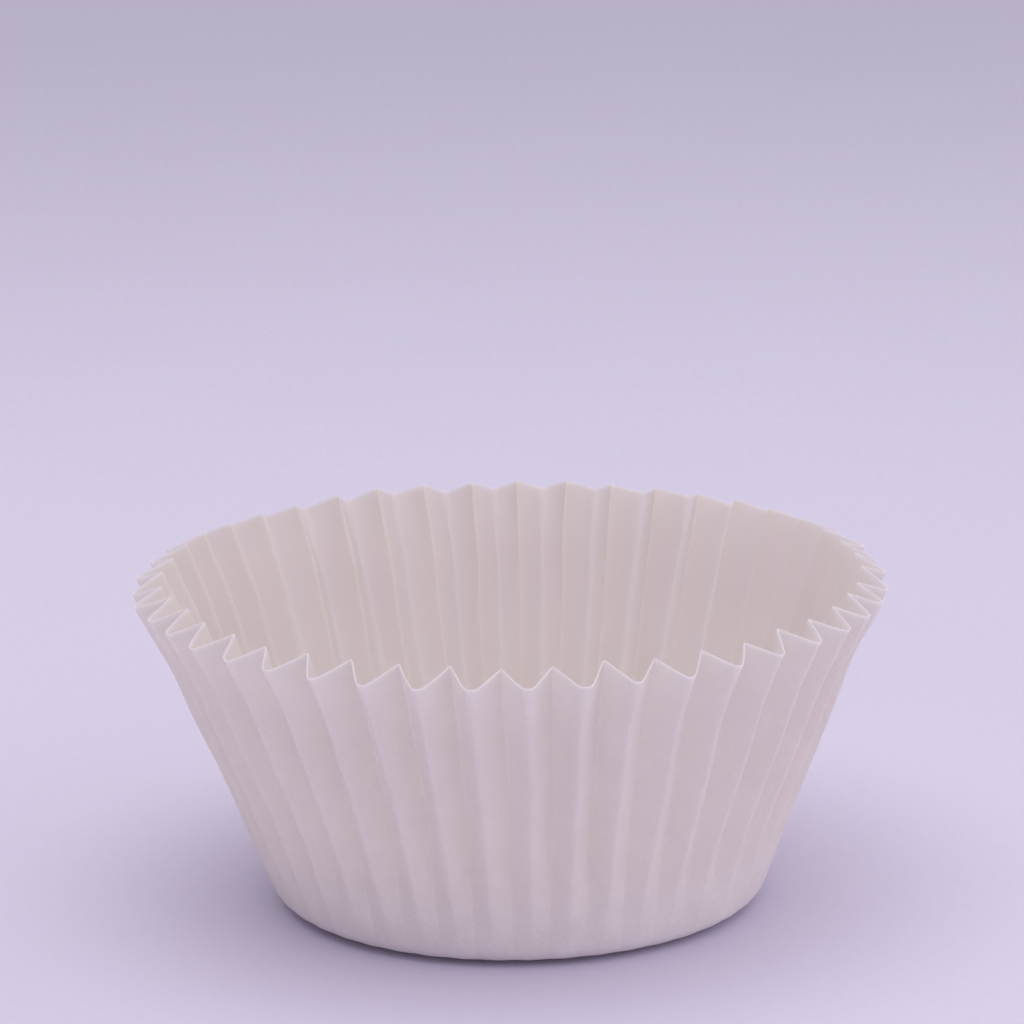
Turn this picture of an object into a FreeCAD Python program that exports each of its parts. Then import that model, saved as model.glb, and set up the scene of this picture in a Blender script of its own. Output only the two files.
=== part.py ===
import FreeCAD, Part
import math
import os
from FreeCAD import Vector

os.makedirs("parts", exist_ok=True)
doc = FreeCAD.newDocument("cupcake_liner")

# Driving sizes in millimetres, and the number of pleats.
SIZES = {
    "paper": 0.1,          # thickness of the greaseproof sheet
    "pleats": 44,          # outer folds round the wall
    "floor_radius": 24.9,  # flat floor, out to where an outer fold bends up
    "bend_radius": 2.5,    # outside radius of the bend from floor to wall
    "rim_radius": 41.3,    # outer fold at the cut edge, from the axis
    "rim_height": 34.5,    # outer fold at the cut edge, above the table
    "rim_fold": 2.9,       # how far the inner fold stands in at the cut edge
    "rim_rise": 1.6,       # how far the inner fold stands up at the cut edge
    "foot_fold": 0.4,      # how far the inner fold stands in at the floor
    "rim_crown": 1.1,      # width of an outer fold's round top at the cut edge
    "rim_drop": 0.22,      # fall of the round top to its shoulders at the cut edge
    "foot_gap": 2.1,       # space between two round tops at the floor
    "foot_drop": 0.1,      # fall of the round top to its shoulders at the floor
}
sheet = doc.addObject("Spreadsheet::Sheet", "sizes")
for row, (name, number) in enumerate(SIZES.items(), start=1):
    sheet.set("A%d" % row, name)
    sheet.set("B%d" % row, str(number))
    sheet.setAlias("B%d" % row, name)
doc.recompute()

paper = sheet.paper
pleats = int(sheet.pleats)
half_pleat = math.pi / pleats

# A leg of the pleat runs slantwise from an outer fold to an inner one, so an
# upright cut through the axis shows the paper thicker there.
leg_in = sheet.rim_fold - sheet.rim_drop
leg_across = (sheet.rim_radius - sheet.rim_fold) * half_pleat - sheet.rim_crown / 2
leg_cut = paper * math.hypot(leg_in, leg_across) / leg_across

# The round top of an outer fold narrows towards the rim, so its two shoulders
# lean together as seen from above.
foot_crown = 2 * sheet.floor_radius * half_pleat - sheet.foot_gap
lean = math.atan((foot_crown - sheet.rim_crown) / 2 / (sheet.rim_radius - sheet.floor_radius))
shoulder_aside = sheet.rim_crown / 2 + sheet.rim_radius * math.tan(lean)


class Fold:
    """A line of the folded sheet from floor to rim, on its outside and its inside.

    The fold lies in an upright plane at the given heading, which passes the axis
    at the distance aside, to its left. Lengths along the plane start there.
    """

    def __init__(self, heading, aside, floor_end, rim_out, rim_up, cut):
        self.out = Vector(math.cos(heading), math.sin(heading), 0)
        self.start = Vector(-self.out.y, self.out.x, 0) * aside
        elbow = Vector(floor_end, sheet.bend_radius, 0)
        rim = Vector(rim_out, rim_up, 0)
        foot, self.heel = self.bend(elbow, sheet.bend_radius, rim)
        inner_rim = rim + Vector(foot.y - rim.y, rim.x - foot.x, 0).normalize() * cut
        inner_foot, self.inner_heel = self.bend(elbow, sheet.bend_radius - paper, inner_rim)
        self.outside = (self.place(foot), self.place(rim))
        self.inside = (self.place(inner_foot), self.place(inner_rim))
        self.edge = Part.makeLine(self.place(rim), self.place(inner_rim))

    def place(self, flat):
        return self.start + self.out * flat.x + Vector(0, 0, flat.y)

    def bend(self, elbow, radius, rim):
        """The foot of the straight wall to the rim, and the arc to it from the floor."""
        reach = rim - elbow
        turn = math.acos(radius / reach.Length) - math.atan2(reach.y, reach.x)
        low, middle, foot = [
            elbow + Vector(math.cos(angle), -math.sin(angle), 0) * radius
            for angle in (math.pi / 2, (math.pi / 2 + turn) / 2, turn)
        ]
        return foot, Part.Arc(self.place(low), self.place(middle), self.place(foot)).toShape()


def outer_fold(middle):
    """The ridge of the round top, furthest from the axis."""
    return Fold(middle, 0, sheet.floor_radius, sheet.rim_radius, sheet.rim_height, paper)


def shoulder(middle, side):
    """Where the round top meets the leg, on one side of the ridge."""
    return Fold(
        middle - side * lean,
        side * shoulder_aside * math.cos(lean),
        (sheet.floor_radius - sheet.foot_drop) / math.cos(lean) - shoulder_aside * math.sin(lean),
        (sheet.rim_radius - sheet.rim_drop) / math.cos(lean) - shoulder_aside * math.sin(lean),
        sheet.rim_height + sheet.rim_rise * sheet.rim_drop / sheet.rim_fold,
        (paper + leg_cut) / 2,
    )


def inner_fold(middle):
    """The crease between this pleat and the next, nearest to the axis."""
    return Fold(
        middle + half_pleat,
        0,
        sheet.floor_radius - sheet.foot_fold,
        sheet.rim_radius - sheet.rim_fold,
        sheet.rim_height + sheet.rim_rise,
        leg_cut,
    )


def flat_faces(line, after):
    """The paper between two straight folds, as two flat triangles."""
    foot, rim = line
    foot_after, rim_after = after
    corners = [(foot, rim, foot_after, foot), (rim, rim_after, foot_after, rim)]
    return [Part.Face(Part.makePolygon(corner)) for corner in corners]


def strip(fold, after):
    """All the faces between two folds that lie side by side."""
    faces = flat_faces(fold.outside, after.outside) + flat_faces(fold.inside, after.inside)
    for name in ("heel", "edge", "inner_heel"):
        faces.append(Part.makeRuledSurface(getattr(fold, name), getattr(after, name)))
    return faces


def floor_face(heels):
    """One face of the flat floor, up to where every fold bends."""
    corners = [heel.firstVertex().Point for heel in heels]
    return Part.Face(Part.makePolygon(corners + corners[:1]))


def pleated_cup():
    """The whole sheet as one solid: its floor, and its pleats all the way round."""
    folds = []
    for number in range(pleats):
        middle = 2 * half_pleat * number
        folds += [shoulder(middle, -1), outer_fold(middle), shoulder(middle, 1), inner_fold(middle)]
    faces = [floor_face([fold.heel for fold in folds]), floor_face([fold.inner_heel for fold in folds])]
    for fold, after in zip(folds, folds[1:] + folds[:1]):
        faces += strip(fold, after)
    shell = Part.makeShell(faces)
    shell.sewShape()
    return Part.makeSolid(shell)


liner = doc.addObject("Part::Feature", "liner")
liner.Label = "liner"
liner.Shape = pleated_cup()
liner.Placement = FreeCAD.Placement()
doc.recompute()

for thing in doc.Objects:
    if "Invalid" in thing.State or "Error" in thing.State:
        raise RuntimeError("%s did not build: %s" % (thing.Name, thing.State))
shape = liner.Shape
if shape.isNull() or not shape.isValid() or len(shape.Solids) != 1 or shape.Volume <= 0:
    raise RuntimeError("the liner is not one whole solid")
shape.exportStep("parts/liner.step")
print("liner: %.0f cubic mm, %d faces, box %s" % (shape.Volume, len(shape.Faces), shape.BoundBox))
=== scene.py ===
import math
import random

import bmesh
import bpy
from mathutils import Matrix, Vector, noise


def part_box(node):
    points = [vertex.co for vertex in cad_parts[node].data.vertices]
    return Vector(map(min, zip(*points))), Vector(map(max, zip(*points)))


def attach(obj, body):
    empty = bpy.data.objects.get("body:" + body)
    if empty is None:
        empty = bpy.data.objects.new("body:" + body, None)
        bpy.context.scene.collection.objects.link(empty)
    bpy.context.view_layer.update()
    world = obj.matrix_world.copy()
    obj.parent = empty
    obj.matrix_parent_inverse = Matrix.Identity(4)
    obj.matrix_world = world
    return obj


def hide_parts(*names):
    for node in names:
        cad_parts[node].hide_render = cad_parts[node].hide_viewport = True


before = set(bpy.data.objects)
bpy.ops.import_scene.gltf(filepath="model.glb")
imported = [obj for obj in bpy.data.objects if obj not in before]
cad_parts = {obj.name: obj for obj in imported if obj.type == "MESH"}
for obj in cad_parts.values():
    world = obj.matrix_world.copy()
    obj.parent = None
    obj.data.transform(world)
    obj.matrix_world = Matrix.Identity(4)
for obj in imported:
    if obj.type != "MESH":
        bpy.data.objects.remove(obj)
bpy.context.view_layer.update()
liner_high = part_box("liner")[1]

MM = 0.001

# The folded sheet, in millimetres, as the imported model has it.
PLEATS = 44
PAPER = 0.1
RIM_RADIUS = liner_high.x / MM
RIM_HEIGHT = 34.5

# The line of an outer fold: an easy bend at the foot, a slight flare, and a waist under the rim.
# The waist's place and width are shares of the wall's length.
FLOOR_RADIUS = 24.7
BEND_RADIUS = 2.8
FLARE_RADIUS = 420
WAIST_DEPTH = 0.33
WAIST_PLACE = 0.8
WAIST_WIDTH = 0.13

# Where on the flat disc the floor starts to crease, and where the pleats start to open.
CREASES = (FLOOR_RADIUS - 1.5, FLOOR_RADIUS)
OPENING = (FLOOR_RADIUS + 2.0, FLOOR_RADIUS + 14.0)

# Radii of the round outer folds at the foot, up the wall and at the rim, and of the inner creases.
# The last stretch of the wall, as shares of its length, is where the rim's folds grow rounder.
FOOT_CROWN = 0.8
WALL_CROWN = 0.55
RIM_CROWN = 0.95
CREASE = 0.12
LAST_STRETCH = (0.85, 1)

# How the cup stands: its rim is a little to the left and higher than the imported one, and its
# floor rises between these distances from the middle, so that its edge is just off the table.
LEAN = -0.5
FLOOR_LIFT = 0.4
LIFTED = (6, FLOOR_RADIUS)
RIM_LIFT = 0.25

# Seeds, so that each run gives the same folds and waves. Blender's noise starts from the clock without.
FOLDS_SEED = 44
WAVES_SEED = 1

# How unlike the folds are: turns about the axis in degrees, places in millimetres, and shares.
TURN_AT_FOOT = 0.10
TURN_AT_RIM = 0.15
BOW = 0.08
STAND_OUT = 0.10
STAND_UP = 0.06
FULLNESS = 0.035
ROUNDNESS = (0.85, 1.2)

# The paper's waves: how many in a millimetre and how high, and how far up they are at full height.
SLOW_WAVES = 0.09
SLOW_HEIGHT = 0.25
QUICK_WAVES = 0.33
QUICK_HEIGHT = 0.05
QUICK_PLACE = Vector((7.0, 3.0, 1.0))
FULL_WAVES = 0.25

# The grid that the sheet is drawn on. Its columns crowd at the folds, and an edge is smooth below
# so many degrees.
COLUMNS_PER_PLEAT = 18
CROWDING = 0.8
FLOOR_RINGS = (1.5, 8, 15, 21)
BEND_START = 23.2
BEND_END = 29.6
BEND_RINGS = 14
WALL_RINGS = 34
SMOOTH_BELOW = 25

# The table: its half width in metres, and its depth below the cup in millimetres.
TABLE_REACH = 6.0
TABLE_GAP = 0.03

# The camera, in outer rim radii from the middle of the floor, and in degrees.
IMAGE = 1024
FOCAL_PIXELS = 6263
SENSOR = 36
DISTANCE = 16.49
ELEVATION = 14.93
AIM_HEIGHT = 1.046
AIM_ASIDE = -0.006
ROLL = -0.89
TURN = -2.44


def colour(red, green, blue):
    return (red, green, blue, 1.0)


def grey(level):
    return colour(level, level, level)


# Paper: clouds and fibres in a metre, how much of its tone is fibres, and its colours.
CLOUDS = 260
FIBRES = 2600
FIBRE_SHARE = 0.55
THIN_PAPER = colour(0.80, 0.735, 0.77)
THICK_PAPER = colour(0.92, 0.855, 0.89)
# Painted light: a cream tint on the inner side for the warm light that bounces about inside the cup.
PAINTED_INSIDE_GLOW = colour(0.885, 0.81, 0.72)
# Painted highlight: a pale colour along the rim for the bright line where light catches the cut edge.
PAINTED_RIM_HIGHLIGHT = colour(0.96, 0.915, 0.945)
SHINE_THROUGH = colour(0.955, 0.925, 0.94)

# Millimetres from the rim over which the pale band fades: a highlight painted along the cut edge, where the
# paper is also rougher.
RIM_HIGHLIGHT_FADE = (0.1, 0.5)

# The share of light that shines through, by the share of the way up. The foot lets least through, which is
# painted shade: the outside of the lower wall and the gap under the floor's edge turn darker.
WALLS_IN_A_METRE = 28.0
SHADE_SHARES_THROUGH = ((0.014, 0.12), (0.08, 0.28), (0.40, 0.56), (1.0, 0.62))

# Table: blotches and grain in a metre, its colours near and far, and where it turns, in metres. The far
# colour is painted shade, for the light falling off towards the back.
BLOTCHES = 30
GRAIN = 900
NEAR_TABLE = colour(0.665, 0.605, 0.785)
FAR_TABLE_PAINTED_SHADE = colour(0.53, 0.475, 0.635)
TABLE_SHADE_TURNS = (0.12, 0.55)

# The soft light that comes from the left and from the right.
LEFT_SKY = colour(0.27, 0.27, 0.275)
RIGHT_SKY = colour(0.99, 0.985, 1.0)


class Field:
    """A value that varies over a surface, with sums written as on numbers."""

    def __init__(self, graph, socket):
        self.graph = graph
        self.socket = socket

    def maths(self, operation, first, second):
        return self.graph.make("ShaderNodeMath", {"operation": operation}, {0: first, 1: second})[0]

    def __add__(self, other):
        return self.maths("ADD", self, other)

    def __radd__(self, other):
        return self.maths("ADD", other, self)

    def __sub__(self, other):
        return self.maths("SUBTRACT", self, other)

    def __rsub__(self, other):
        return self.maths("SUBTRACT", other, self)

    def __mul__(self, other):
        return self.maths("MULTIPLY", self, other)

    def __rmul__(self, other):
        return self.maths("MULTIPLY", other, self)


class Graph:
    """The nodes of one material or of the world."""

    def __init__(self, tree):
        self.tree = tree
        tree.nodes.clear()

    def make(self, kind, settings=None, inputs=None):
        """Adds a node: its settings first, then the values or links of its sockets."""
        node = self.tree.nodes.new(kind)
        for name, setting in (settings or {}).items():
            if name == "stops":
                self.set_stops(node.color_ramp, setting)
            else:
                setattr(node, name, setting)
        for name, given in (inputs or {}).items():
            if isinstance(given, Field):
                self.tree.links.new(given.socket, node.inputs[name])
            else:
                node.inputs[name].default_value = given
        return [Field(self, socket) for socket in node.outputs]

    def set_stops(self, ramp, stops):
        while len(ramp.elements) < len(stops):
            ramp.elements.new(1.0)
        for element, (position, tone) in zip(ramp.elements, stops):
            element.position = position
            element.color = tone

    def ramp(self, share, stops):
        return self.make("ShaderNodeValToRGB", {"stops": stops}, {"Fac": share})[0]

    def mix(self, share, first, second):
        """One colour going over into another, by the share of the second."""
        return self.make("ShaderNodeMix", {"data_type": "RGBA"}, {0: share, 6: first, 7: second})[2]

    def noise(self, place, scale, detail):
        return self.make("ShaderNodeTexNoise", {}, {"Vector": place, "Scale": scale, "Detail": detail})[0]

    def attribute(self, name):
        return self.make("ShaderNodeAttribute", {"attribute_name": name})[2]

    def object_place(self):
        """The place on the piece, and its part along each axis."""
        place = self.make("ShaderNodeTexCoord")[3]
        return place, self.make("ShaderNodeSeparateXYZ", {}, {"Vector": place})


def paper_material():
    """White greaseproof paper: cloudy fibres, a soft sheen, light that shines through, and painted light: a
    highlight along the rim, a warm glow inside and shade on the foot.
    """
    material = bpy.data.materials.new("greaseproof_paper")
    material.use_nodes = True
    graph = Graph(material.node_tree)
    place, (_, _, height) = graph.object_place()
    clouds = graph.noise(place, CLOUDS, 3)
    fibres = graph.noise(place, FIBRES, 4)
    tone = clouds * (1 - FIBRE_SHARE) + fibres * FIBRE_SHARE
    fade_start, fade_end = RIM_HIGHLIGHT_FADE
    rim_highlight_and_fuzz = graph.make(
        "ShaderNodeMapRange", {}, {0: graph.attribute("from_rim"), 1: fade_start, 2: fade_end, 3: 1.0, 4: 0.0}
    )[0]
    tint = graph.ramp(tone, [(0.3, THIN_PAPER), (0.7, THICK_PAPER)])
    # Painted light: the inner side is tinted cream for the warm glow of light bounced inside the cup.
    tint = graph.mix(graph.attribute("inner_side"), tint, PAINTED_INSIDE_GLOW)
    # Painted highlight: the band along the rim turns pale, for the bright line of the lit cut edge.
    tint = graph.mix(rim_highlight_and_fuzz, tint, PAINTED_RIM_HIGHLIGHT)
    raised = graph.make(
        "ShaderNodeBump", {}, {"Strength": 0.18, "Distance": 0.00012, "Height": fibres + clouds}
    )[0]
    dull = clouds * 0.1 + rim_highlight_and_fuzz * 0.2 + 0.56
    surface = graph.make(
        "ShaderNodeBsdfPrincipled",
        {},
        {"Base Color": tint, "Roughness": dull, "Specular IOR Level": 0.3, "Normal": raised},
    )[0]
    through = graph.make("ShaderNodeBsdfTranslucent", {}, {"Color": SHINE_THROUGH})[0]
    # Painted shade: less light shines through near the foot, so the lower wall is darker from outside.
    foot_shade_through = graph.ramp(height * WALLS_IN_A_METRE, [(rise, grey(share)) for rise, share in SHADE_SHARES_THROUGH])
    both = graph.make("ShaderNodeMixShader", {}, {0: foot_shade_through, 1: surface, 2: through})[0]
    graph.make("ShaderNodeOutputMaterial", {}, {"Surface": both})
    return material


def table_material():
    """The pale lavender table, slightly mottled, with painted shade that darkens it towards the back."""
    material = bpy.data.materials.new("pale_table")
    material.use_nodes = True
    graph = Graph(material.node_tree)
    place, (_, back, _) = graph.object_place()
    blotches = graph.noise(place, BLOTCHES, 2)
    grain = graph.noise(place, GRAIN, 3)
    turn_start, turn_end = TABLE_SHADE_TURNS
    # Painted shade: the table grows darker towards the back, for the light falling off there.
    depth = graph.make(
        "ShaderNodeMapRange", {"interpolation_type": "SMOOTHSTEP"}, {0: back, 1: turn_start, 2: turn_end}
    )[0]
    tone = depth + (blotches - 0.5) * 0.15 + (grain - 0.5) * 0.5
    tint = graph.ramp(tone, [(0.0, NEAR_TABLE), (1.0, FAR_TABLE_PAINTED_SHADE)])
    raised = graph.make("ShaderNodeBump", {}, {"Strength": 0.1, "Distance": 0.0002, "Height": grain})[0]
    dull = grain * 0.1 + 0.65
    surface = graph.make(
        "ShaderNodeBsdfPrincipled", {}, {"Base Color": tint, "Roughness": dull, "Normal": raised}
    )[0]
    graph.make("ShaderNodeOutputMaterial", {}, {"Surface": surface})
    return material


class FoldPath:
    """An outer fold seen from the side: flat floor, round bend, and a wall that flares to the rim."""

    def __init__(self):
        self.elbow = Vector((FLOOR_RADIUS, BEND_RADIUS))
        rim = Vector((RIM_RADIUS, RIM_HEIGHT))
        reach = rim - self.elbow
        hub_reach = BEND_RADIUS + FLARE_RADIUS
        leaning = (reach.length_squared + hub_reach ** 2 - FLARE_RADIUS ** 2) / (2 * reach.length * hub_reach)
        self.heading = math.atan2(reach.y, reach.x) - math.acos(leaning)
        self.hub = self.elbow + Vector((math.cos(self.heading), math.sin(self.heading))) * hub_reach
        self.bend_length = BEND_RADIUS * (self.heading + math.pi / 2)
        to_rim = rim - self.hub
        self.wall_length = FLARE_RADIUS * (self.heading + math.pi - math.atan2(to_rim.y, to_rim.x))
        self.length = FLOOR_RADIUS + self.bend_length + self.wall_length

    def at(self, along):
        """The point so far along from the middle of the floor, and the way in from there."""
        if along <= FLOOR_RADIUS:
            return Vector((along, 0)), Vector((0, 1))
        along -= FLOOR_RADIUS
        if along <= self.bend_length:
            turn = along / BEND_RADIUS
            inward = Vector((-math.sin(turn), math.cos(turn)))
            return self.elbow - inward * BEND_RADIUS, inward
        along -= self.bend_length
        angle = self.heading + math.pi - along / FLARE_RADIUS
        inward = Vector((math.cos(angle), math.sin(angle)))
        off_waist = (along / self.wall_length - WAIST_PLACE) / WAIST_WIDTH
        return self.hub + inward * (FLARE_RADIUS + WAIST_DEPTH * math.exp(-off_waist ** 2)), inward


def smooth_step(low, high, value):
    share = min(1.0, max(0.0, (value - low) / (high - low)))
    return share * share * (3 - 2 * share)


def half_pleat(share, across, depth, crown, crease):
    """Shares of the way across and in, for a share of the paper from an outer fold to an inner one.

    The paper goes round the crown, straight down the leg and round the crease.
    """
    arcs = crown + crease
    slope = math.atan2(depth - arcs, across) + math.asin(min(1.0, arcs / math.hypot(across, depth - arcs)))
    leg = max(0.0, (across - arcs * math.sin(slope)) / math.cos(slope))
    along = share * (arcs * slope + leg)
    if along < crown * slope:
        turn = along / crown
        return crown * math.sin(turn) / across, crown * (1 - math.cos(turn)) / depth
    along -= crown * slope
    if along < leg:
        over = crown * math.sin(slope) + along * math.cos(slope)
        down = crown * (1 - math.cos(slope)) + along * math.sin(slope)
        return over / across, down / depth
    turn = slope - (along - leg) / crease
    return 1 - crease * math.sin(turn) / across, 1 - crease * (1 - math.cos(turn)) / depth


class Folding:
    """How the flat disc of paper is pressed into the cup, each fold a little its own way."""

    # A column this near to a fold, in folds, lies on it, and folds less deep than this are flat.
    ON_FOLD = 1e-6
    FLAT = 0.01

    def __init__(self):
        self.path = FoldPath()
        dice = random.Random(FOLDS_SEED)
        noise.seed_set(WAVES_SEED)
        folds = range(2 * PLEATS)
        self.turn_at_foot = [math.radians(dice.gauss(0, TURN_AT_FOOT)) for _ in folds]
        self.turn_at_rim = [math.radians(dice.gauss(0, TURN_AT_RIM)) for _ in folds]
        self.bow = [math.radians(dice.gauss(0, BOW)) for _ in folds]
        self.stand_out = [dice.gauss(0, STAND_OUT) for _ in folds]
        self.stand_up = [dice.gauss(0, STAND_UP) for _ in folds]
        self.fullness = [dice.gauss(1, FULLNESS) for _ in folds]
        self.roundness = [dice.uniform(*ROUNDNESS) for _ in folds]

    def depth_at(self, distance, out):
        """How deep the pleats are there: they take up the ring's spare paper, save at the foot.

        There they are pressed shallow, down to the creases at the floor's edge.
        """
        narrow = math.pi / PLEATS
        spare = max(0.0, distance ** 2 - out ** 2)
        creased = smooth_step(*CREASES, distance) * narrow ** 2 * out / 2
        return creased + smooth_step(*OPENING, distance) * narrow * math.sqrt(spare)

    def crown_at(self, which, rise):
        """The radius of an outer fold at a share of the way up."""
        crown = WALL_CROWN + (RIM_CROWN - WALL_CROWN) * smooth_step(*LAST_STRETCH, rise)
        crown += (FOOT_CROWN - WALL_CROWN) * (1 - rise)
        return crown * self.roundness[which]

    def fold_at(self, number, distance, rise):
        """A fold's turn about the axis, and its place out and up, on one ring of the sheet."""
        which = number % (2 * PLEATS)
        turn = math.pi / PLEATS * number
        turn += self.turn_at_foot[which] * (1 - rise) + self.turn_at_rim[which] * rise
        turn += self.bow[which] * math.sin(math.pi * rise)
        place, inward = self.path.at(distance)
        if number % 2:
            place = place + inward * self.depth_at(distance, place.x) * self.fullness[which]
        place.x += self.stand_out[which] * rise
        place.y += self.stand_up[which] * rise
        return turn, place

    def press(self, flat):
        """Where a point of the flat disc ends up in the cup."""
        distance = flat.length
        rise = min(1.0, max(0.0, (distance - FLOOR_RADIUS) / (self.path.length - FLOOR_RADIUS)))
        fold = math.atan2(flat.y, flat.x) % (2 * math.pi) / (math.pi / PLEATS)
        number = int(fold + self.ON_FOLD)
        part = fold - number
        outer_first = number % 2 == 0
        part = part if outer_first else 1 - part
        part += (0.5 - 0.5 * math.cos(math.pi * part) - part) * CROWDING
        crest, valley = (number, number + 1) if outer_first else (number + 1, number)
        crest_turn, crest_place = self.fold_at(crest, distance, rise)
        valley_turn, valley_place = self.fold_at(valley, distance, rise)
        depth = (valley_place - crest_place).length
        over, down = part, part
        if depth > self.FLAT:
            across = crest_place.x * abs(valley_turn - crest_turn)
            over, down = half_pleat(part, across, depth, self.crown_at(crest % (2 * PLEATS), rise), CREASE)
        turn = crest_turn + (valley_turn - crest_turn) * over
        place = crest_place + (valley_place - crest_place) * down
        pressed = Vector((place.x * math.cos(turn), place.x * math.sin(turn), place.y))
        pressed.x += LEAN * rise
        pressed.z += FLOOR_LIFT * smooth_step(*LIFTED, distance) + RIM_LIFT * rise
        return pressed + self.waves(pressed, rise)

    def waves(self, place, rise):
        """The paper's slight waves, which leave the floor flat."""
        slow = noise.noise_vector(place * SLOW_WAVES)
        quick = noise.noise_vector(place * QUICK_WAVES + QUICK_PLACE)
        return (slow * SLOW_HEIGHT + quick * QUICK_HEIGHT) * min(1.0, rise / FULL_WAVES)


def ring_distances(sheet_radius):
    """How far from the middle of the flat disc each ring of the grid lies."""
    bend = [BEND_START + (BEND_END - BEND_START) * ring / BEND_RINGS for ring in range(BEND_RINGS)]
    wall = [BEND_END + (sheet_radius - BEND_END) * ring / WALL_RINGS for ring in range(WALL_RINGS + 1)]
    return [*FLOOR_RINGS, *bend, *wall]


def ringed_disc(bm, rings):
    """The flat disc of paper, in millimetres, with a ring of the grid at each distance."""
    columns = PLEATS * COLUMNS_PER_PLEAT
    bmesh.ops.create_circle(bm, cap_ends=True, cap_tris=True, radius=rings[0], segments=columns)
    for inside, outside in zip(rings, rings[1:]):
        edge = [line for line in bm.edges if line.is_boundary]
        grown = bmesh.ops.extrude_edge_only(bm, edges=edge)["geom"]
        fresh = [item for item in grown if isinstance(item, bmesh.types.BMVert)]
        bmesh.ops.scale(bm, vec=(outside / inside,) * 3, verts=fresh)


def thicken(bm):
    """Gives the sheet its thickness inwards, and marks the side that faces into the cup."""
    bmesh.ops.recalc_face_normals(bm, faces=bm.faces)
    floor = min(bm.faces, key=lambda face: face.calc_center_median().length)
    if floor.normal.z > 0:
        bmesh.ops.reverse_faces(bm, faces=bm.faces)
    bmesh.ops.solidify(bm, geom=bm.faces, thickness=PAPER)
    bm.normal_update()
    inner_side = bm.verts.layers.float.new("inner_side")
    for vertex in bm.verts:
        outward = Vector((vertex.co.x, vertex.co.y, 0)).normalized()
        vertex[inner_side] = float(vertex.normal.z > vertex.normal.dot(outward))


def pleated_sheet():
    """The liner: a flat disc of paper, pressed into pleats and given its thickness."""
    folding = Folding()
    bm = bmesh.new()
    ringed_disc(bm, ring_distances(folding.path.length))
    from_rim = bm.verts.layers.float.new("from_rim")
    for vertex in bm.verts:
        vertex[from_rim] = folding.path.length - vertex.co.length
        vertex.co = folding.press(vertex.co)
    thicken(bm)
    for line in bm.edges:
        line.smooth = line.calc_face_angle(0.0) < math.radians(SMOOTH_BELOW)
    for face in bm.faces:
        face.smooth = True
    bmesh.ops.scale(bm, vec=(MM,) * 3, verts=bm.verts)
    piece = new_object("pleated_sheet", bm, paper_material())
    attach(piece, "root")
    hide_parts("liner")


def table_top():
    """The wide pale table that the cup stands on."""
    bm = bmesh.new()
    bmesh.ops.create_grid(bm, x_segments=1, y_segments=1, size=TABLE_REACH)
    bmesh.ops.translate(bm, vec=(0, 0, -TABLE_GAP * MM), verts=bm.verts)
    new_object("table_top", bm, table_material())


def new_object(name, bm, material):
    mesh = bpy.data.meshes.new(name)
    bm.to_mesh(mesh)
    bm.free()
    mesh.materials.append(material)
    return link(name, mesh)


def link(name, data):
    thing = bpy.data.objects.new(name, data)
    bpy.context.collection.objects.link(thing)
    return thing


def lamp(name, place, target, size, watts):
    light = bpy.data.lights.new(name, "AREA")
    light.shape = "DISK"
    light.size = size
    light.energy = watts
    holder = link(name, light)
    holder.location = place
    holder.rotation_euler = (Vector(target) - Vector(place)).to_track_quat("-Z", "Y").to_euler()


def sky():
    """Soft light from all round, which grows from the left to the right."""
    world = bpy.data.worlds.new("soft_studio")
    bpy.context.scene.world = world
    world.use_nodes = True
    graph = Graph(world.node_tree)
    ahead = graph.make("ShaderNodeTexCoord")[0]
    to_right = graph.make("ShaderNodeSeparateXYZ", {}, {"Vector": ahead})[0]
    shade = graph.mix(to_right * 0.5 + 0.5, LEFT_SKY, RIGHT_SKY)
    glow = graph.make("ShaderNodeBackground", {}, {"Color": shade, "Strength": 1.0})[0]
    graph.make("ShaderNodeOutputWorld", {}, {"Surface": glow})


def photo_camera():
    """The long lens of the photograph, a little above the rim and turned to its pleats."""
    data = bpy.data.cameras.new("long_lens")
    data.sensor_width = SENSOR
    data.lens = SENSOR * FOCAL_PIXELS / IMAGE
    data.clip_start = 0.01
    data.clip_end = 100
    camera = link("long_lens", data)
    bpy.context.scene.camera = camera
    lift, roll = math.radians(ELEVATION), math.radians(ROLL)
    place = Vector((AIM_ASIDE, -DISTANCE * math.cos(lift), AIM_HEIGHT + DISTANCE * math.sin(lift)))
    ahead = Vector((0, math.cos(lift), -math.sin(lift)))
    level = Vector((1, 0, 0))
    above = level.cross(ahead)
    right = level * math.cos(roll) + above * math.sin(roll)
    up = above * math.cos(roll) - level * math.sin(roll)
    axes = Matrix((right, up, -ahead)).transposed().to_4x4()
    put = Matrix.Translation(place * RIM_RADIUS * MM) @ axes
    camera.matrix_world = Matrix.Rotation(math.radians(TURN), 4, "Z") @ put


bpy.context.scene.view_settings.view_transform = "Standard"
pleated_sheet()
table_top()
lamp("overhead", place=(-0.1, -0.05, 0.85), target=(0, 0, 0), size=1.0, watts=3.7)
lamp("right_softbox", place=(1.5, -0.5, 0.6), target=(0, 0, 0.02), size=1.6, watts=1.5)
lamp("front_softbox", place=(0.5, -1.4, 0.7), target=(0, 0, 0.02), size=1.6, watts=0.7)
sky()
photo_camera()
